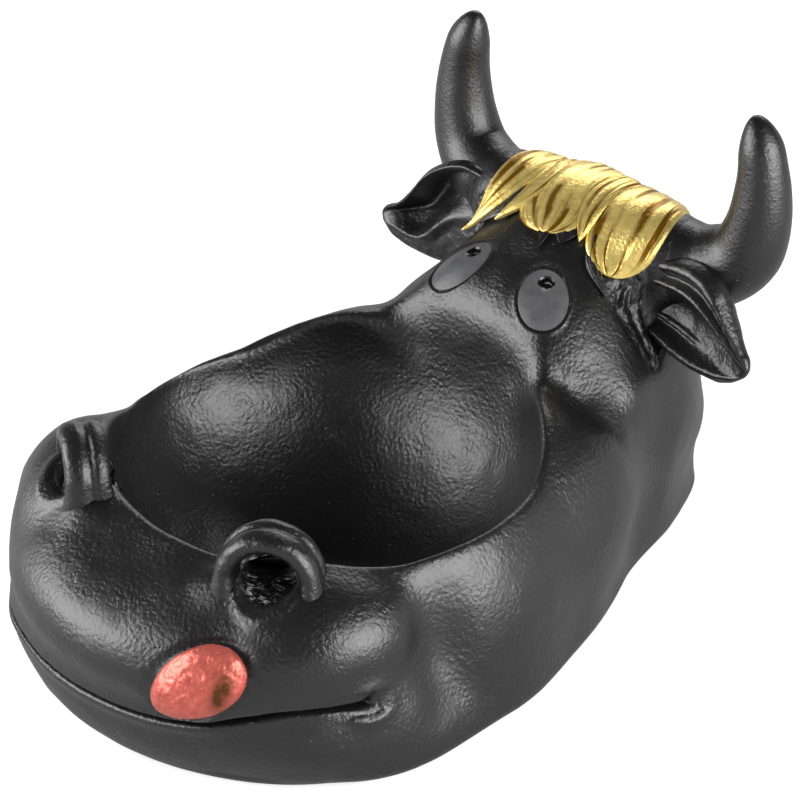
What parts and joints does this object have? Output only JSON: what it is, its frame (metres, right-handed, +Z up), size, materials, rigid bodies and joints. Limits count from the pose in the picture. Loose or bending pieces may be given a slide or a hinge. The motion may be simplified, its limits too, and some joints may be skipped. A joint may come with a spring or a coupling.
{
  "type": "ashtray",
  "caption": "Cow-head ashtray: the muzzle is scooped out as a round ash bowl with strap loops for cigarettes; behind it are horns, ears, eyes, a gilt forelock and a red tongue.",
  "frame": {"origin": "on the flat foot, in the plane of symmetry, below the ash bowl", "axes": "+Z up from the foot, -Y towards the muzzle, +Y towards the back of the head, +X to the animal's left, which is the right side seen from the front with the muzzle towards the viewer"},
  "size_m": [0.1008, 0.163, 0.0925],
  "materials": {
    "black_lacquer": "cold-painted casting, satin black lacquer over a fine wrinkled skin",
    "eye_lacquer": "cold-painted casting, smooth satin charcoal lacquer",
    "gold_lacquer": "cold-painted casting, metallic gold lacquer",
    "red_lacquer": "cold-painted casting, metallic coral red lacquer"
  },
  "bodies": {
    "root": {"right_horn": "black_lacquer", "left_horn": "black_lacquer", "right_ear": "black_lacquer", "left_ear": "black_lacquer", "right_cigarette_loop": "black_lacquer", "left_cigarette_loop": "black_lacquer", "right_eye": "eye_lacquer", "left_eye": "eye_lacquer", "tongue": "red_lacquer", "forelock_middle": "gold_lacquer", "forelock_right": "gold_lacquer", "forelock_left": "gold_lacquer", "forelock_left_tip": "gold_lacquer", "forelock_small": "gold_lacquer", "head": "black_lacquer"}
  },
  "joints": []
}
